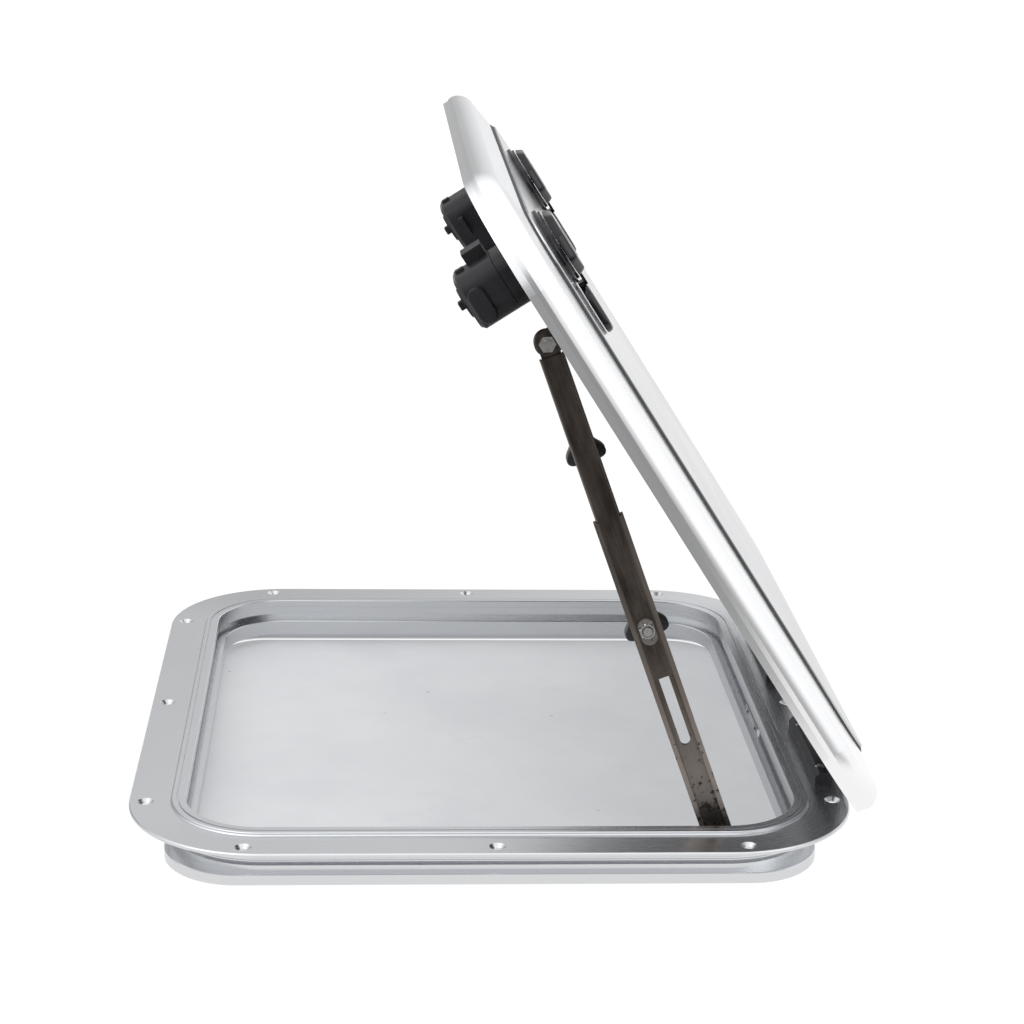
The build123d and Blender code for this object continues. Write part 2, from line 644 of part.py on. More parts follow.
def stay_bar():
    """Top member: flat bar in the arm's channel, with a rounded eye at the head pivot."""
    half = ARM_WIDTH / 2 - ARM_WALL - 0.2
    back = BAR_FRONT + BAR_THICK
    body = box((-half, half), (BAR_FRONT, back), (BAR_LOW, STAY_LENGTH))
    body += rod(0, STAY_LENGTH, BAR_FRONT, back, EYE_RADIUS)
    for height in (STAY_LENGTH, UPPER_CLAMP):
        body -= rod(0, height, BAR_FRONT - 1, back + 1, BOLT_RADIUS + CLOSE_FIT)
    return on_stay(body)


def lower_clamp_bolt():
    """Bolt through the nut, plate, arm, slot and lower knob."""
    return on_stay(rod(0, LOWER_CLAMP, ARM_FRONT - 6.2, CHANNEL_BACK + 13, BOLT_RADIUS))


def upper_clamp_bolt():
    """Bolt through the arm, bar, spacer and upper knob, flush with the arm's face."""
    return on_stay(rod(0, UPPER_CLAMP, ARM_FRONT, CHANNEL_BACK + 13, BOLT_RADIUS))


def upper_clamp_spacer():
    """Sleeve through the channel's notch that holds the upper knob clear of the channel."""
    front = BAR_FRONT + BAR_THICK
    back = CHANNEL_BACK + 0.1
    body = rod(0, UPPER_CLAMP, front, back, NOTCH_WIDTH / 2 - 0.5)
    return on_stay(body - rod(0, UPPER_CLAMP, front - 1, back + 1, BOLT_RADIUS + CLOSE_FIT))


def clamp_nut():
    """Hexagon nut on the lower clamp bolt."""
    front = ARM_FRONT - 5.4
    body = hexagon(0, LOWER_CLAMP, front, ARM_FRONT - 0.6, NUT_SIZE)
    return on_stay(body - rod(0, LOWER_CLAMP, front - 1, ARM_FRONT, BOLT_RADIUS + CLOSE_FIT))


def clamp_plate():
    """Obround washer under the nut, in the arm's pressed recess."""
    body = obround(LOWER_CLAMP - 11.6, LOWER_CLAMP + 8, 11, ARM_FRONT - 0.6, ARM_FRONT + 0.6)
    return on_stay(body - rod(0, LOWER_CLAMP, ARM_FRONT - 2, ARM_FRONT + 1, BOLT_RADIUS + CLOSE_FIT))


def wing_knob(height, front, reach):
    """Three-lobed clamping knob on a short stem, behind the stay."""
    stem = front + 7
    back = front + 20
    body = rod(0, height, front, stem + 1, 7)
    hub = rod(0, height, stem, back, 9)
    for angle in (90, 210, 330):
        x = (reach - 5) * cos(radians(angle))
        z = (reach - 5) * sin(radians(angle))
        hub += rod(x, height + z, stem, back, 5)
        arm = Pos(x / 2, (stem + back) / 2, height + z / 2) * Rot(0, 90 - angle, 0)
        hub += arm * Box(9, back - stem, reach - 5)
    body += hub
    body -= rod(0, height, front - 1, front + 14, BOLT_RADIUS + 0.05)
    return on_stay(body)


def foot_bush():
    """Spacer between the frame's ledge and the stay channel."""
    face = -HALF_Y + LEDGE_INNER + 0.2
    back = CHANNEL_BACK - CHANNEL_WALL - 0.3
    body = rod(*STAY_FOOT, face, back, 5.5)
    return body - rod(*STAY_FOOT, face - 1, back + 1, BOLT_RADIUS + CLOSE_FIT)


def foot_screw():
    """Shoulder screw that the stay turns on, threaded into the ledge."""
    face = -HALF_Y + LEDGE_INNER
    body = rod(*STAY_FOOT, face - 8, CHANNEL_BACK + 0.4, BOLT_RADIUS - 0.01)
    head = rod(*STAY_FOOT, CHANNEL_BACK + 0.4, CHANNEL_BACK + 3.6, 5.5)
    return body + fillet(head.edges().group_by(Axis.Y)[-1], 1.2)


def head_screw_xs():
    """Stations of the two bracket screws."""
    return (STAY_HEAD_SHUT[0] - 12, STAY_HEAD_SHUT[0] + 12)


def head_screw_y():
    """Line of the bracket screws, under the panel shelf."""
    return -LID_HALF_Y + WEB_INNER + 4.2


def head_bracket():
    """Angle bracket under the lid's shelf with a rounded ear at the pivot."""
    x, z = STAY_HEAD_SHUT
    back = BRACKET_FRONT + BRACKET_THICK
    web = -LID_HALF_Y + WEB_INNER + 0.3
    body = box((x - EYE_RADIUS, x + EYE_RADIUS), (BRACKET_FRONT, back), (z, SHELF_UNDER))
    body += rod(x, z, BRACKET_FRONT, back, EYE_RADIUS)
    body += box((x - 18, x + 18), (web, back), (SHELF_UNDER - BRACKET_THICK, SHELF_UNDER))
    body -= rod(x, z, BRACKET_FRONT - 1, back + 1, BOLT_RADIUS + 0.6)
    for screw_x in head_screw_xs():
        body -= post(screw_x, head_screw_y(), SHELF_UNDER - 5, SHELF_UNDER + 1, SMALL_SCREW_HOLE)
    return opened(body)


def head_screws():
    """Two screws of the head bracket."""
    seat = SHELF_UNDER - BRACKET_THICK
    screws = [pan_screw(x, head_screw_y(), seat, 5.4, True, 1.5, 2.8) for x in head_screw_xs()]
    return opened(Compound(children=screws))


def head_bolt():
    """Bolt that rides on the bar; it ends short of the bracket, where the linkage is open."""
    front = BRACKET_FRONT + BRACKET_THICK + 0.4
    back = BAR_FRONT + BAR_THICK
    body = rod(0, STAY_LENGTH, front + 2.4, back + 0.1, BOLT_RADIUS)
    body += rod(0, STAY_LENGTH, front, BAR_FRONT, 5.5)
    body += hexagon(0, STAY_LENGTH, back, back + 4, NUT_SIZE)
    return on_stay(body)


def head_stud():
    """Nut and stud end on the bracket's outer face."""
    x, z = STAY_HEAD_SHUT
    body = hexagon(x, z, BRACKET_FRONT - 3.4, BRACKET_FRONT, NUT_SIZE)
    body += rod(x, z, BRACKET_FRONT - 4.4, BRACKET_FRONT + BRACKET_THICK, BOLT_RADIUS)
    return opened(body)


# --- export --------------------------------------------------------------------------
save("frame", frame())
save("lower_ring", lower_ring())
save("frame_splice", splice())
save("splice_screws", splice_screws())
save("lid_rim", opened(lid_rim()))
save("lid_gasket", opened(lid_gasket()))
save("panel_bead", opened(panel_bead()))
save("lid_panel", opened(lid_panel()))
save("hinge_base_screws", hinge_screws())
save("hinge_leaf_screws", opened(leaf_screws()))
save("latch_housing_screws", opened(housing_screws()))
for name, side in SIDES.items():
    save(f"hinge_base_{name}", hinge_base(side))
    save(f"hinge_pin_{name}", hinge_pin(side))
    save(f"hinge_leaf_{name}", opened(hinge_leaf(side)))
for name, x, y, side in latch_centres():
    save(f"latch_escutcheon_{name}", opened(escutcheon(x, y)))
    save(f"latch_handle_{name}", opened(handle(x, y)))
    save(f"latch_spindle_{name}", opened(spindle(x, y)))
    save(f"latch_housing_{name}", opened(housing(x, y)))
    save(f"latch_knob_{name}", opened(inner_knob(x, y)))
    save(f"latch_cam_{name}", opened(cam(x, y)))
    save(f"lock_pin_{name}", opened(lock_pin(x, y)))
save("stay_channel", stay_channel())
save("stay_arm", stay_arm())
save("stay_bar", stay_bar())
save("lower_clamp_bolt", lower_clamp_bolt())
save("upper_clamp_bolt", upper_clamp_bolt())
save("clamp_nut", clamp_nut())
save("clamp_plate", clamp_plate())
save("lower_knob", wing_knob(LOWER_CLAMP, CHANNEL_BACK + 0.3, 17))
save("upper_clamp_spacer", upper_clamp_spacer())
save("upper_knob", wing_knob(UPPER_CLAMP, CHANNEL_BACK + 0.3, 15))
save("stay_foot_bush", foot_bush())
save("stay_foot_screw", foot_screw())
save("stay_head_bracket", head_bracket())
save("stay_head_screws", head_screws())
save("stay_head_bolt", head_bolt())
save("stay_head_stud", head_stud())
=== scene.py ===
"""Deck hatch: looks, light and camera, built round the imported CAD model."""

import json
import math

import bmesh
import bpy
from mathutils import Matrix, Vector


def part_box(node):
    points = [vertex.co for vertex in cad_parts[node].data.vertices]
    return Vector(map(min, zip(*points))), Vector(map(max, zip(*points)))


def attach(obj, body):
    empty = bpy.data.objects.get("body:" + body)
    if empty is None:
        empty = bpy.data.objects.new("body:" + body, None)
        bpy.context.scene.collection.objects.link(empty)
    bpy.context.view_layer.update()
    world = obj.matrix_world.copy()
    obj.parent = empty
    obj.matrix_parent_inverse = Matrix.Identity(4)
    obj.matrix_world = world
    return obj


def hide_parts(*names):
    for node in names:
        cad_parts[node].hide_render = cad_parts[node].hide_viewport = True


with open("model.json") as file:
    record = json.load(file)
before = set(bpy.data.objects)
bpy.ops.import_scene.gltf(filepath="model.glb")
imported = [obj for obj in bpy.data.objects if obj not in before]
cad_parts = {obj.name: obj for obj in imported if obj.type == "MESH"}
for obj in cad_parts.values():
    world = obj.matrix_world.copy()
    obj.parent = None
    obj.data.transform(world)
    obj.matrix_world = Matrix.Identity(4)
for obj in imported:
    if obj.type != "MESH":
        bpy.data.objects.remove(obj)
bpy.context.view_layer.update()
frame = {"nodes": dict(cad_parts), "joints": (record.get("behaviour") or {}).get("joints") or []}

SIDES = ("near", "far")

# --- sizes, in metres; the lid's are those of the shut lid -----------------------------
MM = 0.001
FLANGE_CORNER = 92 * MM
LID_OVERHANG = 5 * MM
LID_CORNER = 72 * MM
SHELF_TOP = 24 * MM             # underside of the lid's panel
HATCHWAY_HALF = Vector((213, 238)) * MM
HATCHWAY_CORNER = 40 * MM
LATCH_X = -176 * MM
LATCH_Y = 147 * MM
CAP_LOW = 36.4 * MM
CAP_TOP = 42.2 * MM
CAP_RADIUS = 25 * MM
CAP_SIDES = 8
CAP_FLAT = CAP_RADIUS / 1.06    # centre to the flat of a side
SPINDLE_RADIUS = 5 * MM
SPINDLE_DEPTH = 3 * MM          # cap's top to the blind end of the spindle's bore
NECK_START = 10 * MM            # strap between cap and paddle, from the hub
NECK_END = 32 * MM
NECK_HALF = 5 * MM
NECK_THICK = 2 * MM
PADDLE_START = 41.5 * MM        # centres of the paddle's round ends, from the hub
PADDLE_END = 58 * MM
PADDLE_HALF = 11 * MM
PADDLE_LOW = 32.3 * MM
PADDLE_TOP = 37.1 * MM
LOWER_CLAMP = 166.6 * MM        # clamp bolts, along the stay from its foot
UPPER_CLAMP = 294.8 * MM
KNOB_FRONT = -216.3 * MM
KNOB_STEM = 7 * MM
KNOB_VALLEY = 9 * MM            # centre to the hollow between two lobes
LOWER_KNOB_REACH = 17 * MM
UPPER_KNOB_REACH = 15 * MM
BOLT_RADIUS = 3 * MM
NUT_FRONT = -228 * MM
NUT_HALF = 5 * MM
ROUND = 96                      # points on a ring, and sides of a round polygon
SHARP_EDGE = math.radians(32)   # edges bent more than this stay sharp

# --- places worked out from the frame --------------------------------------------------
joints = {joint["name"]: joint for joint in frame["joints"]}
HINGE = Vector(joints["lid_hinge"]["pos_m"])
OPEN_ANGLE = math.radians(-joints["lid_hinge"]["range_deg"][0])
STAY_UP = Vector(joints["stay_slide"]["axis"])          # along the stay, away from its foot
STAY_TILT = math.atan2(STAY_UP.x, STAY_UP.z)
_, FLANGE_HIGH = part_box("frame")
FLANGE_HALF = Vector(FLANGE_HIGH[:2])
LID_HALF = FLANGE_HALF + Vector((LID_OVERHANG, LID_OVERHANG))
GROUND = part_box("lower_ring")[0][2]
LID_TURN = Matrix.Translation(HINGE) @ Matrix.Rotation(OPEN_ANGLE, 4, "Y") @ Matrix.Translation(-HINGE)
STAY_FOOT = Vector(joints["stay_pivot"]["pos_m"])
STAY_TURN = Matrix.Translation(STAY_FOOT) @ Matrix.Rotation(STAY_TILT, 4, "Y")

# --- surroundings ----------------------------------------------------------------------
FLOOR_REACH = 15                # metres
FLOOR_FRONT = -0.62             # the floor ends here, as a table does
HATCHWAY_GLOW = 0.45            # strength of the grey sheet's glow, where the white floor has 1; painted light that lifts the shade inside the frame
SKY_FRONT = 1.10                # strength near the horizon, away from the dim way
SKY_BEHIND = 0.42               # strength near the horizon, in the dim way
SKY_TOP = 1.25                  # strength overhead
SKY_BELOW = 0.28                # strength below the horizon
DIM_WAY = (-0.6, 0.8, 0)        # level direction in which the sky is dimmest


# --- shader helpers --------------------------------------------------------------------
class Shader:
    """A material being built: its node tree and a few shorthands."""

    def __init__(self, name, base, metallic, roughness):
        self.material = bpy.data.materials.new(name)
        self.material.use_nodes = True
        self.nodes = self.material.node_tree.nodes
        self.bsdf = self.nodes["Principled BSDF"]
        self.set("Base Color", (*base, 1))
        self.set("Metallic", metallic)
        self.set("Roughness", roughness)

    def set(self, socket, value):
        self.bsdf.inputs[socket].default_value = value

    def add(self, kind, **settings):
        node = self.nodes.new(kind)
        for key, value in settings.items():
            setattr(node, key, value)
        return node

    def link(self, source, target):
        self.material.node_tree.links.new(source, target)

    def drive(self, socket, source):
        """Link a socket of the principled shader."""
        self.link(source, self.bsdf.inputs[socket])

    def math(self, operation, a, b=0.0):
        """A math node on two sockets or numbers."""
        node = self.add("ShaderNodeMath", operation=operation)
        for socket, value in zip(node.inputs, (a, b)):
            if isinstance(value, (int, float)):
                socket.default_value = value
            else:
                self.link(value, socket)
        return node.outputs[0]

    def position(self):
        """Place on the object in the row frame."""
        return self.add("ShaderNodeTexCoord").outputs["Object"]

    def shut_position(self):
        """Place on the lid as if it were shut."""
        turn = self.add("ShaderNodeVectorRotate", rotation_type="AXIS_ANGLE")
        self.link(self.position(), turn.inputs["Vector"])
        turn.inputs["Center"].default_value = HINGE
        turn.inputs["Axis"].default_value = (0, 1, 0)
        turn.inputs["Angle"].default_value = -OPEN_ANGLE
        return turn.outputs[0]

    def noise(self, vector, scale, detail=3.0, rough=0.5):
        node = self.add("ShaderNodeTexNoise")
        self.link(vector, node.inputs["Vector"])
        node.inputs["Scale"].default_value = scale
        node.inputs["Detail"].default_value = detail
        node.inputs["Roughness"].default_value = rough
        return node.outputs["Fac"]

    def stretched(self, vector, factors):
        """A vector scaled by a different factor on each axis."""
        node = self.add("ShaderNodeVectorMath", operation="MULTIPLY")
        self.link(vector, node.inputs[0])
        node.inputs[1].default_value = factors
        return node.outputs[0]

    def ramp(self, value, low, high, start, end):
        """Map value from low..high to start..end."""
        node = self.add("ShaderNodeMapRange")
        self.link(value, node.inputs["Value"])
        for name, number in (("From Min", low), ("From Max", high), ("To Min", start), ("To Max", end)):
            node.inputs[name].default_value = number
        return node.outputs[0]

    def colours(self, value, low, high, first, second):
        """Blend of two colours as value goes from low to high."""
        node = self.add("ShaderNodeValToRGB")
        self.link(value, node.inputs[0])
        for stop, place, colour in zip(node.color_ramp.elements, (low, high), (first, second)):
            stop.position = place
            stop.color = (*colour, 1)
        return node.outputs[0]

    def mix(self, factor, first, second):
        """Colour mix by a factor socket; first and second are sockets or colours."""
        node = self.add("ShaderNodeMix", data_type="RGBA")
        self.link(factor, node.inputs["Factor"])
        for socket, value in ((node.inputs["A"], first), (node.inputs["B"], second)):
            colour_socket = [s for s in node.inputs if s.name == socket.name and s.type == "RGBA"][0]
            if isinstance(value, tuple):
                colour_socket.default_value = (*value, 1)
            else:
                self.link(value, colour_socket)
        return [s for s in node.outputs if s.type == "RGBA"][0]

    def bump(self, height, strength, distance):
        node = self.add("ShaderNodeBump")
        node.inputs["Strength"].default_value = strength
        node.inputs["Distance"].default_value = distance
        self.link(height, node.inputs["Height"])
        self.drive("Normal", node.outputs[0])

    def outward(self, vector, half, corner):
        """Horizontal vector from the rounded rectangle's core line to a place, with its sign."""
        split = self.add("ShaderNodeSeparateXYZ")
        self.link(vector, split.inputs[0])
        flat = self.add("ShaderNodeCombineXYZ")
        for axis in (0, 1):
            past = self.math("SUBTRACT", self.math("ABSOLUTE", split.outputs[axis]), half[axis] - corner)
            beyond = self.math("MAXIMUM", past, 0.0)
            side = self.math("SIGN", split.outputs[axis])
            self.link(self.math("MULTIPLY", beyond, side), flat.inputs[axis])
        return flat.outputs[0]

    def length(self, vector):
        node = self.add("ShaderNodeVectorMath", operation="LENGTH")
        self.link(vector, node.inputs[0])
        return node.outputs["Value"]

    def along_bend(self, vector, half, corner, stretch):
        """Section coordinates of a bent extrusion: distance out, height, and a slow run along it."""
        split = self.add("ShaderNodeSeparateXYZ")
        self.link(vector, split.inputs[0])
        x, y, z = split.outputs
        out = self.add("ShaderNodeCombineXYZ")
        self.link(self.length(self.outward(vector, half, corner)), out.inputs[0])
        self.link(z, out.inputs[1])
        self.link(self.math("MULTIPLY", self.math("ADD", x, y), stretch), out.inputs[2])
        return out.outputs[0]

    def brush_along(self, vector, half, corner, tilt, amount):
        """Stretch reflections across the drawing lines, which run round the rounded rectangle."""
        run = self.add("ShaderNodeVectorMath", operation="CROSS_PRODUCT")
        run.inputs[0].default_value = (0, 0, 1)
        self.link(self.outward(vector, half, corner), run.inputs[1])
        turned = self.add("ShaderNodeVectorRotate", rotation_type="AXIS_ANGLE")
        self.link(run.outputs[0], turned.inputs["Vector"])
        turned.inputs["Axis"].default_value = (0, 1, 0)
        turned.inputs["Angle"].default_value = tilt
        unit = self.add("ShaderNodeVectorMath", operation="NORMALIZE")
        self.link(turned.outputs[0], unit.inputs[0])
        self.drive("Tangent", unit.outputs[0])
        self.set("Anisotropic", amount)


# --- materials -------------------------------------------------------------------------
def extruded_metal(name, base, rough, half, corner, shut):
    """Satin anodised extrusion: fine drawn lines along its length and soft smudges."""
    shader = Shader(name, base, 1.0, rough)
    place = shader.shut_position() if shut else shader.position()
    drawn = shader.noise(shader.along_bend(place, half, corner, 0.002), 2600, 2, 0.5)
    smudge = shader.noise(place, 9, 2, 0.5)
    scuff = shader.noise(shader.stretched(place, (1, 0.35, 1)), 260, 2, 0.4)
    marks = shader.ramp(scuff, 0.74, 0.80, 0.0, 0.25)
    tone = shader.colours(drawn, 0.3, 0.7, tuple(c * 0.985 for c in base), base)
    shader.drive("Base Color", shader.mix(marks, tone, tuple(c * 0.85 for c in base)))
    lines = shader.ramp(drawn, 0.3, 0.7, rough - 0.005, rough + 0.005)
    clouds = shader.ramp(smudge, 0.3, 0.7, -0.006, 0.006)
    shader.drive("Roughness", shader.math("ADD", lines, clouds))
    shader.brush_along(place, half, corner, OPEN_ANGLE if shut else 0.0, 0.65)
    shader.bump(drawn, 0.01, 0.00001)
    return shader.material


def panel_metal():
    """Glossy pale sheet with faint wipe marks, dark on its underside."""
    base = (0.60, 0.605, 0.615)
    shader = Shader("panel_sheet", base, 1.0, 0.15)
    place = shader.shut_position()
    grain = shader.noise(shader.stretched(place, (1, 0.04, 1)), 1500, 3, 0.5)
    wipe = shader.noise(shader.stretched(place, (1, 0.4, 1)), 9, 5, 0.6)
    split = shader.add("ShaderNodeSeparateXYZ")
    shader.link(place, split.inputs[0])
    upper = shader.ramp(split.outputs[2], SHELF_TOP + 0.2 * MM, SHELF_TOP + 0.6 * MM, 0.0, 1.0)
    pale = shader.colours(grain, 0.3, 0.7, (0.585, 0.59, 0.60), base)
    shader.drive("Base Color", shader.mix(upper, (0.07, 0.071, 0.075), pale))
    shader.drive("Metallic", upper)
    shader.drive("Roughness", shader.ramp(wipe, 0.3, 0.7, 0.11, 0.19))
    shader.set("Specular Tint", (0.82, 0.82, 0.83, 1))
    shader.bump(grain, 0.05, 0.00002)
    return shader.material


def stay_metal():
    """Stainless strip stained brown, with rolling lines, soot-like spots and a painted highlight along its
    edges.
    """
    shader = Shader("stained_stainless", (0.08, 0.07, 0.06), 1.0, 0.34)
    turn = shader.add("ShaderNodeVectorRotate", rotation_type="AXIS_ANGLE")
    shader.link(shader.position(), turn.inputs["Vector"])
    turn.inputs["Center"].default_value = STAY_FOOT
    turn.inputs["Axis"].default_value = (0, 1, 0)
    turn.inputs["Angle"].default_value = -STAY_TILT
    local = turn.outputs[0]
    split = shader.add("ShaderNodeSeparateXYZ")
    shader.link(local, split.inputs[0])
    across = shader.math("ABSOLUTE", shader.math("SUBTRACT", split.outputs[0], STAY_FOOT.x))
    up = shader.math("SUBTRACT", split.outputs[2], STAY_FOOT.z)
    rolled = shader.noise(shader.stretched(local, (1, 1, 0.03)), 900, 4, 0.6)
    cloud = shader.noise(shader.stretched(local, (1, 1, 0.35)), 45, 5, 0.65)
    spots = shader.noise(local, 190, 4, 0.7)
    brown = shader.colours(cloud, 0.32, 0.72, (0.042, 0.035, 0.030), (0.125, 0.106, 0.092))
    lined = shader.mix(shader.ramp(rolled, 0.45, 0.80, 0.0, 0.30), brown, (0.21, 0.18, 0.16))
    # painted highlight: the strip's outer edges are paled towards (0.27, 0.235, 0.21), standing in for
    # light caught on them
    edge_highlighted = shader.mix(shader.ramp(across, 0.0062, 0.0078, 0.0, 0.5), lined, (0.27, 0.235, 0.21))
    foot = shader.mix(shader.ramp(up, 0.055, 0.115, 0.45, 0.0), edge_highlighted, (0.30, 0.27, 0.245))
    near_foot = shader.ramp(up, 0.05, 0.13, 0.56, 0.70)
    blot = shader.ramp(shader.math("SUBTRACT", spots, near_foot), 0.0, 0.05, 0.0, 0.85)
    shader.drive("Base Color", shader.mix(blot, foot, (0.025, 0.02, 0.018)))
    worn = shader.ramp(cloud, 0.3, 0.7, 0.28, 0.42)
    sooty = shader.ramp(blot, 0, 1, 0, 0.2)
    shader.drive("Roughness", shader.math("ADD", worn, sooty))
    shader.bump(rolled, 0.12, 0.00006)
    return shader.material


def plain_steel(name, dark, pale):
    """Turned and rolled stainless for screws, pins, nuts and bolts."""
    shader = Shader(name, pale, 1.0, 0.22)
    place = shader.position()
    grime = shader.noise(place, 260, 5, 0.65)
    fine = shader.noise(place, 1400, 2, 0.5)
    tone = shader.colours(grime, 0.30, 0.55, dark, pale)
    shader.drive("Base Color", tone)
    shader.drive("Roughness", shader.ramp(grime, 0.35, 0.65, 0.26, 0.16))
    shader.bump(fine, 0.1, 0.00001)
    return shader.material


def black_moulding(name, base, rough, grain_depth, coat):
    """Moulded black plastic with spark-erosion grain, dust in it and rubbed patches."""
    shader = Shader(name, base, 0.0, rough)
    shader.set("Specular IOR Level", 0.45)
    shader.set("Specular Tint", (0.8, 0.8, 0.82, 1))
    place = shader.position()
    grain = shader.noise(place, 1800, 3, 0.6)
    rub = shader.noise(place, 55, 5, 0.6)
    dust = shader.noise(place, 420, 3, 0.6)
    tone = shader.colours(rub, 0.35, 0.7, tuple(c * 0.8 for c in base), tuple(c * 2.2 for c in base))
    dusty = shader.mix(shader.ramp(dust, 0.68, 0.82, 0.0, 0.2), tone, (0.12, 0.117, 0.115))
    shader.drive("Base Color", dusty)
    shader.drive("Roughness", shader.ramp(rub, 0.3, 0.7, rough - 0.06, rough + 0.10))
    shader.set("Coat Weight", coat)
    shader.set("Coat Roughness", 0.05)
    shader.bump(grain, 0.35, grain_depth)
    return shader.material


def soft_rubber():
    """Black sealant and gasket rubber, dull with a chalky bloom."""
    shader = Shader("black_rubber", (0.02, 0.02, 0.02), 0.0, 0.7)
    place = shader.position()
    bloom = shader.noise(place, 60, 5, 0.65)
    pores = shader.noise(place, 1500, 2, 0.5)
    chalky = shader.colours(bloom, 0.35, 0.75, (0.014, 0.014, 0.015), (0.05, 0.05, 0.05))
    shader.drive("Base Color", chalky)
    shader.drive("Roughness", shader.ramp(bloom, 0.3, 0.7, 0.6, 0.8))
    shader.bump(pores, 0.3, 0.0001)
    return shader.material


def floor_material():
    """Floor that glows white like a light table, with a fainter worn grey sheet inside the hatchway whose
    glow is painted light that lifts the shade there.
    """
    shader = Shader("floor", (0.92, 0.92, 0.92), 0.0, 0.6)
    place = shader.position()
    rounded = shader.along_bend(place, HATCHWAY_HALF, HATCHWAY_CORNER, 0.0)
    split = shader.add("ShaderNodeSeparateXYZ")
    shader.link(rounded, split.inputs[0])
    outside = shader.ramp(split.outputs[0], HATCHWAY_CORNER - MM, HATCHWAY_CORNER, 0.0, 1.0)
    cloud = shader.noise(place, 7, 5, 0.6)
    chip = shader.noise(shader.stretched(place, (0.7, 1, 1)), 130, 2, 0.4)
    smear = shader.noise(place, 22, 5, 0.7)
    grey = shader.colours(cloud, 0.3, 0.7, (0.68, 0.69, 0.71), (0.76, 0.77, 0.785))
    soft = shader.mix(shader.ramp(smear, 0.60, 0.75, 0.0, 0.35), grey, (0.62, 0.62, 0.64))
    chipped = shader.mix(shader.ramp(chip, 0.775, 0.80, 0.0, 0.8), soft, (0.16, 0.15, 0.15))
    shade = shader.stretched(chipped, (0.55, 0.55, 0.55))
    shader.drive("Base Color", shader.mix(outside, shade, (0.0, 0.0, 0.0)))
    shader.set("Specular IOR Level", 0.1)
    # painted light: inside the hatchway the sheet glows at HATCHWAY_GLOW, lifting the shade cast there by
    # the frame and lid
    shader.drive("Emission Color", shader.mix(outside, chipped, (1.0, 1.0, 1.0)))
    shader.drive("Emission Strength", shader.ramp(outside, 0.0, 1.0, HATCHWAY_GLOW, 1.0))
    return shader.material


def dress(material, *names):
    """Give CAD nodes a material."""
    for name in names:
        node = frame["nodes"][name]
        node.data.materials.clear()
        node.data.materials.append(material)


def pair(stem):
    """The near and far node of a name."""
    return [f"{stem}_{side}" for side in SIDES]


FRAME_METAL = extruded_metal("frame_anodised", (0.65, 0.66, 0.675), 0.27, FLANGE_HALF, FLANGE_CORNER, False)
LID_METAL = extruded_metal("lid_anodised", (0.90, 0.90, 0.905), 0.22, LID_HALF, LID_CORNER, True)
STAY_METAL = stay_metal()
STEEL = plain_steel("plain_stainless", (0.42, 0.40, 0.38), (0.64, 0.63, 0.62))
STAINED_STEEL = plain_steel("stained_stainless_small", (0.10, 0.085, 0.075), (0.30, 0.275, 0.255))
MATT_BLACK = black_moulding("matt_black_moulding", (0.011, 0.011, 0.0125), 0.40, 0.00006, 0.0)
GLOSS_BLACK = black_moulding("gloss_black_moulding", (0.004, 0.004, 0.005), 0.07, 0.000002, 0.1)
RUBBER = soft_rubber()

dress(FRAME_METAL, "frame", "lower_ring", "frame_splice")
dress(LID_METAL, "lid_rim")
dress(panel_metal(), "lid_panel")
dress(RUBBER, "lid_gasket", "panel_bead")
dress(STAY_METAL, "stay_channel", "stay_arm", "stay_bar", "stay_head_bracket")
dress(STAY_METAL, "upper_clamp_bolt", "upper_clamp_spacer")
dress(STEEL, "hinge_base_screws", "hinge_leaf_screws", "latch_housing_screws", "splice_screws")
dress(STEEL, "stay_foot_bush", "stay_foot_screw", "stay_head_screws", "stay_head_bolt", "stay_head_stud")
dress(STEEL, "lower_clamp_bolt", "clamp_nut")
dress(STAINED_STEEL, "clamp_plate")
dress(STEEL, *pair("hinge_pin"), *pair("latch_spindle"))
dress(MATT_BLACK, "lower_knob", "upper_knob", *pair("hinge_base"), *pair("hinge_leaf"))
dress(MATT_BLACK, *pair("latch_housing"), *pair("latch_knob"), *pair("latch_cam"), *pair("lock_pin"))
dress(GLOSS_BLACK, *pair("latch_handle"), *pair("latch_escutcheon"))


# --- built pieces ----------------------------------------------------------------------
def loft(shape, rings, hollow=False):
    """Skin through rings of equally many points; closed at both ends, or back on itself if hollow."""
    rows = [[shape.verts.new(point) for point in ring] for ring in rings]
    pairs = list(zip(rows, rows[1:]))
    if hollow:
        pairs.append((rows[-1], rows[0]))
    for low, high in pairs:
        for i in range(len(low)):
            j = (i + 1) % len(low)
            shape.faces.new((low[i], low[j], high[j], high[i]))
    if not hollow:
        shape.faces.new(list(reversed(rows[0])))
        shape.faces.new(rows[-1])


def polygon_ring(half, sides, limit, centre, z, count=ROUND):
    """Ring of a regular polygon whose corners are cut off at the radius limit; many sides make it round."""
    ring = []
    sector = 2 * math.pi / sides
    for i in range(count):
        angle = 2 * math.pi * i / count
        off = (angle + sector / 2) % sector - sector / 2
        radius = min(half / math.cos(off), limit)
        ring.append((centre[0] + radius * math.cos(angle), centre[1] + radius * math.sin(angle), z))
    return ring


def stadium_ring(start, end, half, y, z, count=20):
    """Ring of a slot outline along X between two end centres."""
    ring = []
    for centre, first in ((end, -90), (start, 90)):
        for i in range(count + 1):
            angle = math.radians(first + 180 * i / count)
            ring.append((centre + half * math.cos(angle), y + half * math.sin(angle), z))
    return ring


def strap_ring(low, high, half, y, z):
    """Ring of a rectangle with cut corners."""
    cut = 0.6 * MM
    front = y - half
    back = y + half
    right = [(high - cut, front), (high, front + cut), (high, back - cut), (high - cut, back)]
    left = [(low + cut, back), (low, back - cut), (low, front + cut), (low + cut, front)]
    return [(x, side, z) for x, side in right + left]


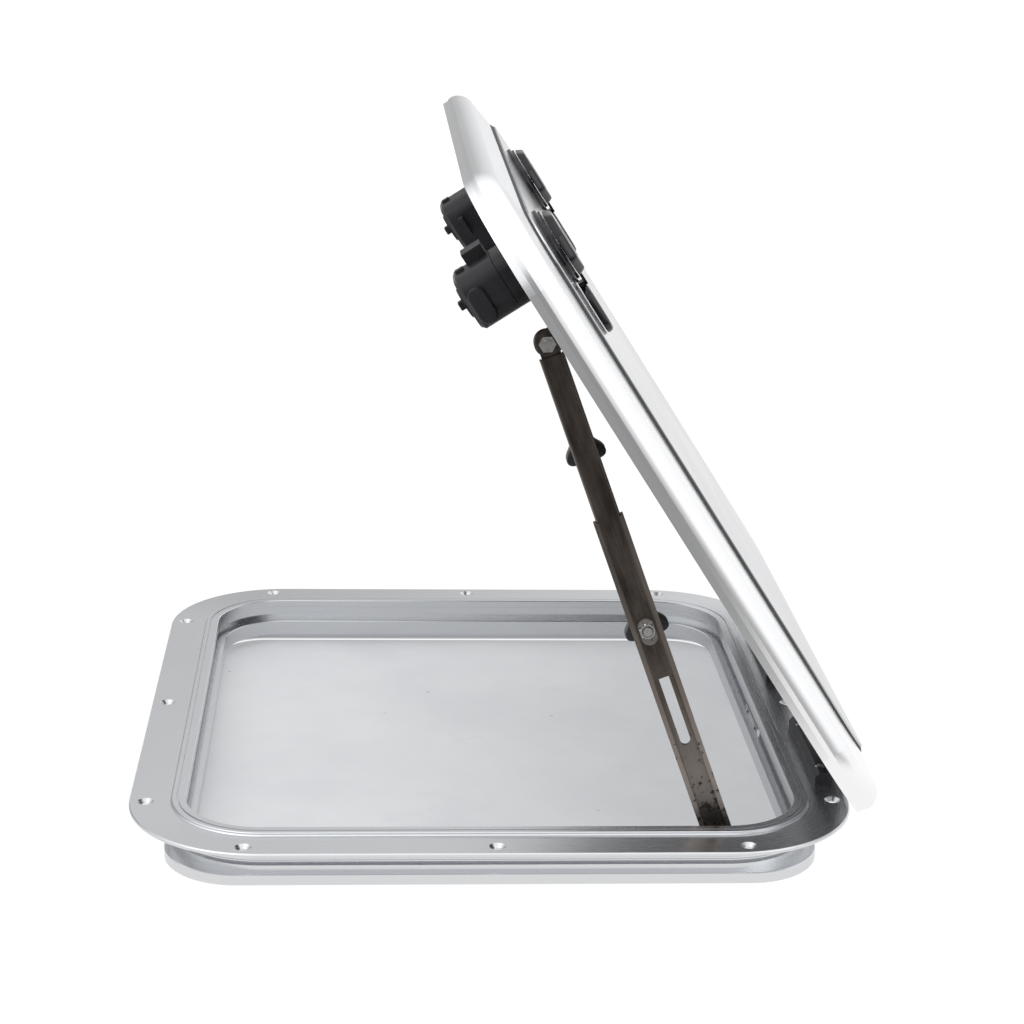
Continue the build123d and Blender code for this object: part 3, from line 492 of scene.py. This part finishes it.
def lobed_ring(valley, reach, inset, height, depth, count=120):
    """Ring across Y of a three-lobed outline with one lobe pointing up the stay."""
    ring = []
    for i in range(count):
        angle = 2 * math.pi * i / count
        bulge = ((1 + math.cos(3 * (angle - math.pi / 2))) / 2) ** 1.6
        radius = valley + (reach - valley) * bulge - inset
        ring.append((radius * math.cos(angle), depth, height + radius * math.sin(angle)))
    return ring


def finish_piece(name, shape, place, material, body, node):
    """Make an object of a built shape that rides on a body in place of a CAD node."""
    bmesh.ops.recalc_face_normals(shape, faces=shape.faces)
    mesh = bpy.data.meshes.new(name)
    shape.to_mesh(mesh)
    shape.free()
    mesh.transform(place)
    mesh.materials.append(material)
    mesh.shade_smooth()
    mesh.set_sharp_from_angle(angle=SHARP_EDGE)
    made = bpy.data.objects.new(name, mesh)
    bpy.context.scene.collection.objects.link(made)
    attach(made, body)
    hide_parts(node)


def add_handle(side, y):
    """Faceted turning cap with a dished thumb paddle on a short strap."""
    shape = bmesh.new()
    hub = (LATCH_X, y)
    bore_heights = (CAP_TOP - SPINDLE_DEPTH, CAP_LOW)
    bore = [polygon_ring(SPINDLE_RADIUS, ROUND, SPINDLE_RADIUS, hub, z) for z in bore_heights]
    profile = [(0.965, CAP_LOW), (1.0, CAP_LOW + 0.4 * MM), (1.0, CAP_LOW + 0.9 * MM),
               (0.91, CAP_TOP - 0.7 * MM), (0.88, CAP_TOP - 0.2 * MM), (0.83, CAP_TOP),
               (0.62, CAP_TOP - 0.1 * MM), (0.54, CAP_TOP - 0.7 * MM)]
    rings = [polygon_ring(CAP_FLAT * scale, CAP_SIDES, CAP_RADIUS * scale, hub, z) for scale, z in profile]
    loft(shape, bore + rings)
    start = LATCH_X + PADDLE_START
    end = LATCH_X + PADDLE_END
    profile = [(0.8, PADDLE_LOW), (0.0, PADDLE_LOW + 0.8 * MM), (0.0, PADDLE_TOP - 2.6 * MM),
               (0.4, PADDLE_TOP - 1.2 * MM), (1.2, PADDLE_TOP - 0.3 * MM), (2.2, PADDLE_TOP),
               (3.2, PADDLE_TOP - 0.3 * MM), (4.6, PADDLE_TOP - 1.2 * MM), (7.0, PADDLE_TOP - 1.7 * MM)]
    loft(shape, [stadium_ring(start, end, PADDLE_HALF - inset * MM, y, z) for inset, z in profile])
    neck_start = LATCH_X + NECK_START
    neck_end = LATCH_X + NECK_END
    leg_start = neck_end - 3 * MM
    neck_top = CAP_LOW + NECK_THICK
    loft(shape, [strap_ring(neck_start, neck_end, NECK_HALF, y, z) for z in (CAP_LOW, neck_top)])
    loft(shape, [strap_ring(leg_start, neck_end, NECK_HALF, y, z) for z in (PADDLE_LOW, CAP_LOW + MM)])
    finish_piece(f"handle_{side}", shape, LID_TURN, GLOSS_BLACK,
                 f"latch_{side}", f"latch_handle_{side}")


def add_clamp_knob(body, height, reach):
    """Three-lobed knob on a stem, with a blind bore for the bolt."""
    shape = bmesh.new()
    bore = BOLT_RADIUS + 0.05 * MM
    stem = [(0.5, 0), (0, 0.6), (0, 6.6)]
    grip = [(2.0, 7.0), (0.6, 7.6), (0, 9.2), (0, 16.5), (0.6, 18.4), (2.0, 19.6), (4.0, 20.0)]
    sections = [(bore, bore, [(0, 14), (0, 0)]), (KNOB_STEM, KNOB_STEM, stem), (KNOB_VALLEY, reach, grip)]
    rings = []
    for valley, tip, profile in sections:
        for inset, depth in profile:
            rings.append(lobed_ring(valley, tip, inset * MM, height, KNOB_FRONT + depth * MM))
    loft(shape, rings)
    finish_piece(f"{body}_grip", shape, STAY_TURN, MATT_BLACK, body, body)


def add_nut():
    """Hexagon nut with chamfered corners and a wider mouth round the bolt's end."""
    shape = bmesh.new()
    full = NUT_HALF / math.cos(math.pi / 6)
    bore = BOLT_RADIUS + 0.02 * MM
    mouth = bore + 0.9 * MM
    profile = [(bore, bore, 2.0), (mouth, mouth, 1.4), (mouth, mouth, 0), (NUT_HALF, NUT_HALF, 0),
               (NUT_HALF, full, 0.6), (NUT_HALF, full, 4.2), (NUT_HALF, NUT_HALF, 4.8), (bore, bore, 4.8)]
    rings = []
    for half, limit, depth in profile:
        flat = polygon_ring(half, 6, limit, (0, 0), 0)
        rings.append([(x, NUT_FRONT + depth * MM, LOWER_CLAMP + z) for x, z, _ in flat])
    loft(shape, rings, hollow=True)
    finish_piece("hexagon_nut", shape, STAY_TURN, STEEL, "stay_upper", "clamp_nut")


add_handle("near", -LATCH_Y)
add_handle("far", LATCH_Y)
add_clamp_knob("lower_knob", LOWER_CLAMP, LOWER_KNOB_REACH)
add_clamp_knob("upper_knob", UPPER_CLAMP, UPPER_KNOB_REACH)
add_nut()


# --- studio ----------------------------------------------------------------------------
def add_floor():
    """Large floor that the lower ring stands on; it ends a little in front, as a table does."""
    mesh = bpy.data.meshes.new("floor")
    left, right, front, back = -FLOOR_REACH, FLOOR_REACH, FLOOR_FRONT, FLOOR_REACH
    plan = [(left, front), (right, front), (right, back), (left, back)]
    mesh.from_pydata([(x, y, GROUND) for x, y in plan], [], [(0, 1, 2, 3)])
    floor = bpy.data.objects.new("floor", mesh)
    bpy.context.scene.collection.objects.link(floor)
    mesh.materials.append(floor_material())


def add_softbox(name, place, target, width, height, power):
    """Soft rectangular light that faces target."""
    light = bpy.data.lights.new(name, "AREA")
    light.shape = "RECTANGLE"
    light.size = width
    light.size_y = height
    light.energy = power
    lamp = bpy.data.objects.new(name, light)
    lamp.location = place
    lamp.rotation_euler = (Vector(target) - Vector(place)).to_track_quat("-Z", "Y").to_euler()
    bpy.context.scene.collection.objects.link(lamp)


def add_world():
    """Surroundings: dark below, white in front and above, dimmer low down behind and to the left."""
    world = bpy.data.worlds.new("studio")
    world.use_nodes = True
    nodes = world.node_tree.nodes
    links = world.node_tree.links
    generated = nodes.new("ShaderNodeTexCoord").outputs["Generated"]
    way = nodes.new("ShaderNodeSeparateXYZ")
    links.new(generated, way.inputs[0])

    def ranged(source, low, high, start, end):
        node = nodes.new("ShaderNodeMapRange")
        links.new(source, node.inputs["Value"])
        for name, value in (("From Min", low), ("From Max", high), ("To Min", start), ("To Max", end)):
            if isinstance(value, float):
                node.inputs[name].default_value = value
            else:
                links.new(value, node.inputs[name])
        return node.outputs[0]

    aim = nodes.new("ShaderNodeVectorMath")
    aim.operation = "DOT_PRODUCT"
    links.new(generated, aim.inputs[0])
    aim.inputs[1].default_value = DIM_WAY
    level = ranged(aim.outputs["Value"], 0.55, 0.80, SKY_FRONT, SKY_BEHIND)
    risen = ranged(way.outputs[2], 0.25, 0.75, level, SKY_TOP)
    strength = ranged(way.outputs[2], -0.04, 0.04, SKY_BELOW, risen)
    background = nodes["Background"]
    background.inputs["Color"].default_value = (0.985, 0.99, 1.0, 1)
    links.new(strength, background.inputs["Strength"])
    bpy.context.scene.world = world


def add_lamps():
    """Two softboxes that model the edges."""
    middle = (0, 0, 0.2)
    add_softbox("key", (-1.6, -1.2, 2.4), middle, 2.0, 2.0, 8)
    add_softbox("fill", (1.9, -1.6, 1.6), middle, 1.6, 1.6, 8)


def add_camera():
    """Long lens, a little above the hatch, looking along the hinge line."""
    yaw = math.radians(3.7176)
    pitch = math.radians(16.5215)
    roll = math.radians(1.3652)
    forward = Vector((math.sin(yaw) * math.cos(pitch), math.cos(yaw) * math.cos(pitch), -math.sin(pitch)))
    level = Vector((math.cos(yaw), -math.sin(yaw), 0))
    upright = level.cross(forward)
    right = level * math.cos(roll) + upright * math.sin(roll)
    up = upright * math.cos(roll) - level * math.sin(roll)
    place = (-0.08886, -1.69553, 0.65990)
    data = bpy.data.cameras.new("camera")
    data.sensor_width = 36
    data.lens = 82.85
    camera = bpy.data.objects.new("camera", data)
    turn = Matrix((right, up, -forward)).transposed().to_4x4()
    camera.matrix_world = Matrix.Translation(place) @ turn
    bpy.context.scene.collection.objects.link(camera)
    bpy.context.scene.camera = camera


add_floor()
add_world()
add_lamps()
add_camera()
bpy.context.scene.view_settings.view_transform = "Standard"
